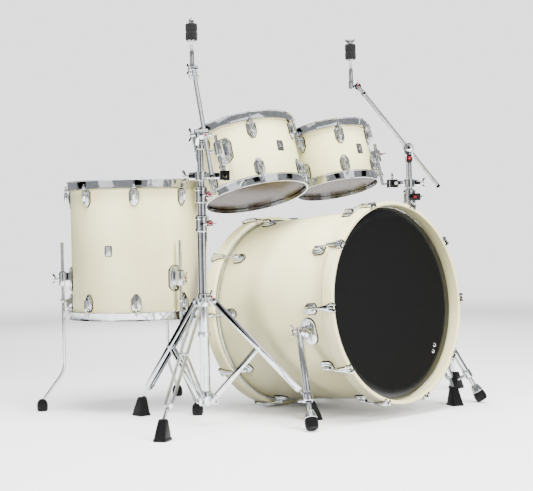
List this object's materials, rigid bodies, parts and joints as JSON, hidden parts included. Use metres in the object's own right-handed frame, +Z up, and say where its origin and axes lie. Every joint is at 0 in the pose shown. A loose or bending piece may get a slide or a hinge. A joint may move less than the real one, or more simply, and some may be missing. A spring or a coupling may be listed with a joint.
{
  "type": "acoustic drum kit",
  "caption": "Lacquered bass drum, floor tom and rack toms in chrome hardware, with folding boom cymbal stands that carry the rack toms.",
  "frame": {"origin": "centre of the bounding box at floor level", "axes": "+Z up; the bass drum front looks along -Y; +X towards the smaller rack tom, the longest way across the kit"},
  "size_m": [1.4609, 1.062, 1.1883],
  "materials": {
    "ivory": "satin lacquer",
    "chrome": "polished",
    "steel": "polished plate",
    "black_film": "matte",
    "clear_film": "clear",
    "rubber": "matte"
  },
  "bodies": {
    "bass_drum": {"bass_shell": "ivory", "bass_front_hoop": "ivory", "bass_rear_hoop": "ivory", "bass_front_head": "black_film", "bass_rear_head": "clear_film", "bass_lugs": "chrome", "bass_claws": "chrome", "spur_brackets": "chrome"},
    "spur_left": {"spur_tube_left": "chrome"},
    "spur_right": {"spur_tube_right": "chrome"},
    "spur_left_foot": {"spur_foot_left": "rubber"},
    "spur_right_foot": {"spur_foot_right": "rubber"},
    "floor_tom": {"floor_tom_shell": "ivory", "floor_tom_hoops": "chrome", "floor_tom_heads": "clear_film", "floor_tom_lugs": "chrome", "floor_tom_brackets": "chrome"},
    "floor_leg_a": {"floor_tom_leg_a": "steel"},
    "floor_leg_b": {"floor_tom_leg_b": "steel"},
    "floor_leg_c": {"floor_tom_leg_c": "steel"},
    "tom_one": {"tom_one_shell": "ivory", "tom_one_hoops": "chrome", "tom_one_heads": "clear_film", "tom_one_lugs": "chrome", "tom_one_bracket": "chrome"},
    "tom_two": {"tom_two_shell": "ivory", "tom_two_hoops": "chrome", "tom_two_heads": "clear_film", "tom_two_lugs": "chrome", "tom_two_bracket": "chrome"},
    "left_stand": {"left_base": "steel"},
    "left_hub": {"left_hub": "chrome"},
    "left_leg_a": {"left_leg_a": "steel"},
    "left_strut_a": {"left_strut_a": "steel"},
    "left_leg_b": {"left_leg_b": "steel"},
    "left_strut_b": {"left_strut_b": "steel"},
    "left_leg_c": {"left_leg_c": "steel"},
    "left_strut_c": {"left_strut_c": "steel"},
    "left_mid": {"left_mid_tube": "steel"},
    "left_top": {"left_top_tube": "steel"},
    "left_clamp": {"left_clamp": "chrome"},
    "left_arm": {"left_arm": "steel"},
    "left_tilter": {"left_tilter": "chrome"},
    "left_boom": {"left_boom": "steel"},
    "left_post": {"left_post": "chrome"},
    "right_stand": {"right_base": "steel"},
    "right_hub": {"right_hub": "chrome"},
    "right_leg_a": {"right_leg_a": "steel"},
    "right_strut_a": {"right_strut_a": "steel"},
    "right_leg_b": {"right_leg_b": "steel"},
    "right_strut_b": {"right_strut_b": "steel"},
    "right_leg_c": {"right_leg_c": "steel"},
    "right_strut_c": {"right_strut_c": "steel"},
    "right_top": {"right_top_tube": "steel"},
    "right_clamp": {"right_clamp": "chrome"},
    "right_arm": {"right_arm": "steel"},
    "right_tilter": {"right_tilter": "chrome"},
    "right_boom": {"right_boom": "steel"},
    "right_post": {"right_post": "chrome"}
  },
  "joints": [
    {"name": "floor_tom_place", "type": "slide", "parent": "bass_drum", "child": "floor_tom", "axis": [0, 1, 0], "range_m": [0, 0.2]},
    {"name": "left_stand_place", "type": "slide", "parent": "bass_drum", "child": "left_stand", "axis": [-0.8, -0.6, 0], "range_m": [0, 0.12]},
    {"name": "right_stand_place", "type": "slide", "parent": "bass_drum", "child": "right_stand", "axis": [0.7071, 0.7071, 0], "range_m": [0, 0.15]},
    {"name": "spur_left_swing", "type": "hinge", "parent": "bass_drum", "child": "spur_left", "pos_m": [-0.2679, -0.39505, 0.262], "axis": [-0.9491, 0.2531, 0.1874], "range_deg": [0, 35]},
    {"name": "spur_left_extend", "type": "slide", "parent": "spur_left", "child": "spur_left_foot", "axis": [-0.2795, -0.4026, -0.8717], "range_m": [-0.02, 0.03]},
    {"name": "spur_right_swing", "type": "hinge", "parent": "bass_drum", "child": "spur_right", "pos_m": [0.3581, -0.39505, 0.262], "axis": [0.9491, 0.2531, 0.1874], "range_deg": [-35, 0]},
    {"name": "spur_right_extend", "type": "slide", "parent": "spur_right", "child": "spur_right_foot", "axis": [0.2795, -0.4026, -0.8717], "range_m": [-0.02, 0.03]},
    {"name": "floor_leg_a_height", "type": "slide", "parent": "floor_tom", "child": "floor_leg_a", "axis": [0, 0, 1], "range_m": [-0.04, 0.1]},
    {"name": "floor_leg_b_height", "type": "slide", "parent": "floor_tom", "child": "floor_leg_b", "axis": [0, 0, 1], "range_m": [-0.04, 0.1]},
    {"name": "floor_leg_c_height", "type": "slide", "parent": "floor_tom", "child": "floor_leg_c", "axis": [0, 0, 1], "range_m": [-0.04, 0.1]},
    {"name": "left_hub_slide", "type": "slide", "parent": "left_stand", "child": "left_hub", "axis": [0, 0, 1], "range_m": [-0.001, 0.0914]},
    {"name": "left_leg_a_fold", "type": "hinge", "parent": "left_hub", "child": "left_leg_a", "pos_m": [-0.45398, -0.18596, 0.35191], "axis": [0.4305, -0.9026, 0], "range_deg": [0, 30.6]},
    {"name": "left_strut_a_fold", "type": "hinge", "parent": "left_leg_a", "child": "left_strut_a", "pos_m": [-0.56682, -0.23979, 0.21596], "axis": [0.4305, -0.9026, 0], "range_deg": [-62.2, 1]},
    {"name": "left_leg_b_fold", "type": "hinge", "parent": "left_hub", "child": "left_leg_b", "pos_m": [-0.40218, -0.19004, 0.35191], "axis": [0.5664, 0.8241, 0], "range_deg": [-0.5, 31.1]},
    {"name": "left_strut_b_fold", "type": "hinge", "parent": "left_leg_b", "child": "left_strut_b", "pos_m": [-0.29914, -0.26085, 0.21596], "axis": [0.5664, 0.8241, 0], "range_deg": [-62.2, 1]},
    {"name": "left_leg_c_fold", "type": "hinge", "parent": "left_hub", "child": "left_leg_c", "pos_m": [-0.42455, -0.14314, 0.35191], "axis": [-0.9969, 0.0785, 0], "range_deg": [-0.5, 31.1]},
    {"name": "left_strut_c_fold", "type": "hinge", "parent": "left_leg_c", "child": "left_strut_c", "pos_m": [-0.41474, -0.01851, 0.21596], "axis": [-0.9969, 0.0785, 0], "range_deg": [-62.2, 1]},
    {"name": "left_mid_height", "type": "slide", "parent": "left_stand", "child": "left_mid", "axis": [0, 0, 1], "range_m": [-0.015, 0.12]},
    {"name": "left_top_height", "type": "slide", "parent": "left_mid", "child": "left_top", "axis": [0, 0, 1], "range_m": [0, 0.12]},
    {"name": "left_clamp_swivel", "type": "hinge", "parent": "left_top", "child": "left_clamp", "pos_m": [-0.4269, -0.17305, 0.709], "axis": [0, 0, 1], "range_deg": [-8, 0]},
    {"name": "left_arm_turn", "type": "hinge", "parent": "left_clamp", "child": "left_arm", "pos_m": [-0.3793, -0.22165, 0.709], "axis": [0.6818, 0.7316, 0], "range_deg": [-8, 0]},
    {"name": "tom_one_height", "type": "slide", "parent": "left_arm", "child": "tom_one", "axis": [0.0288, 0.2819, 0.959], "range_m": [0, 0.01]},
    {"name": "left_boom_tilt", "type": "hinge", "parent": "left_top", "child": "left_tilter", "pos_m": [-0.4269, -0.17305, 0.826], "axis": [0.8425, -0.5388, 0], "range_deg": [-20, 4]},
    {"name": "left_boom_length", "type": "slide", "parent": "left_tilter", "child": "left_boom", "axis": [0.3295, 0.5152, 0.7912], "range_m": [-0.08, 0.08]},
    {"name": "left_post_tilt", "type": "hinge", "parent": "left_boom", "child": "left_post", "pos_m": [-0.32878, -0.04562, 1.0333], "axis": [0.8425, -0.5388, 0], "range_deg": [-20, 20]},
    {"name": "right_hub_slide", "type": "slide", "parent": "right_stand", "child": "right_hub", "axis": [0, 0, 1], "range_m": [-0.001, 0.0622]},
    {"name": "right_leg_a_fold", "type": "hinge", "parent": "right_hub", "child": "right_leg_a", "pos_m": [0.4269, -0.26646, 0.38111], "axis": [0.9135, -0.4067, 0], "range_deg": [0, 23.4]},
    {"name": "right_strut_a_fold", "type": "hinge", "parent": "right_leg_a", "child": "right_strut_a", "pos_m": [0.38338, -0.3642, 0.23055], "axis": [0.9135, -0.4067, 0], "range_deg": [-47.8, 1]},
    {"name": "right_leg_b_fold", "type": "hinge", "parent": "right_hub", "child": "right_leg_b", "pos_m": [0.46894, -0.23591, 0.38111], "axis": [-0.1045, 0.9945, 0], "range_deg": [-0.5, 23.9]},
    {"name": "right_strut_b_fold", "type": "hinge", "parent": "right_leg_b", "child": "right_strut_b", "pos_m": [0.57534, -0.22473, 0.23055], "axis": [-0.1045, 0.9945, 0], "range_deg": [-47.8, 1]},
    {"name": "right_leg_c_fold", "type": "hinge", "parent": "right_hub", "child": "right_leg_c", "pos_m": [0.42147, -0.21478, 0.38111], "axis": [-0.809, -0.5878, 0], "range_deg": [-0.5, 23.9]},
    {"name": "right_strut_c_fold", "type": "hinge", "parent": "right_leg_c", "child": "right_strut_c", "pos_m": [0.35858, -0.12822, 0.23055], "axis": [-0.809, -0.5878, 0], "range_deg": [-47.8, 1]},
    {"name": "right_top_height", "type": "slide", "parent": "right_stand", "child": "right_top", "axis": [0, 0, 1], "range_m": [0, 0.12]},
    {"name": "right_clamp_swivel", "type": "hinge", "parent": "right_top", "child": "right_clamp", "pos_m": [0.4391, -0.23905, 0.697], "axis": [0, 0, 1], "range_deg": [-20, 0]},
    {"name": "right_arm_turn", "type": "hinge", "parent": "right_clamp", "child": "right_arm", "pos_m": [0.4006, -0.19975, 0.697], "axis": [0.5038, 0.8638, 0], "range_deg": [-6, 6]},
    {"name": "tom_two_height", "type": "slide", "parent": "right_arm", "child": "tom_two", "axis": [0.031, 0.2452, 0.969], "range_m": [0, 0.025]},
    {"name": "right_boom_tilt", "type": "hinge", "parent": "right_top", "child": "right_tilter", "pos_m": [0.4391, -0.23905, 0.811], "axis": [0.7133, 0.7009, 0], "range_deg": [-12, 4]},
    {"name": "right_boom_length", "type": "slide", "parent": "right_tilter", "child": "right_boom", "axis": [-0.4286, 0.4362, 0.7912], "range_m": [-0.08, 0.08]},
    {"name": "right_post_tilt", "type": "hinge", "parent": "right_boom", "child": "right_post", "pos_m": [0.33679, -0.11496, 1.0183], "axis": [0.7133, 0.7009, 0], "range_deg": [-20, 20]}
  ],
  "couplings": [
    {"joint": "left_strut_a_fold", "follows": "left_leg_a_fold", "ratio": -2},
    {"joint": "left_leg_b_fold", "follows": "left_leg_a_fold", "ratio": 1},
    {"joint": "left_strut_b_fold", "follows": "left_leg_a_fold", "ratio": -2},
    {"joint": "left_leg_c_fold", "follows": "left_leg_a_fold", "ratio": 1},
    {"joint": "left_strut_c_fold", "follows": "left_leg_a_fold", "ratio": -2},
    {"joint": "left_hub_slide", "follows": "left_leg_a_fold", "m_per_rad": 0.16742},
    {"joint": "right_strut_a_fold", "follows": "right_leg_a_fold", "ratio": -2},
    {"joint": "right_leg_b_fold", "follows": "right_leg_a_fold", "ratio": 1},
    {"joint": "right_strut_b_fold", "follows": "right_leg_a_fold", "ratio": -2},
    {"joint": "right_leg_c_fold", "follows": "right_leg_a_fold", "ratio": 1},
    {"joint": "right_strut_c_fold", "follows": "right_leg_a_fold", "ratio": -2},
    {"joint": "right_hub_slide", "follows": "right_leg_a_fold", "m_per_rad": 0.14745}
  ]
}
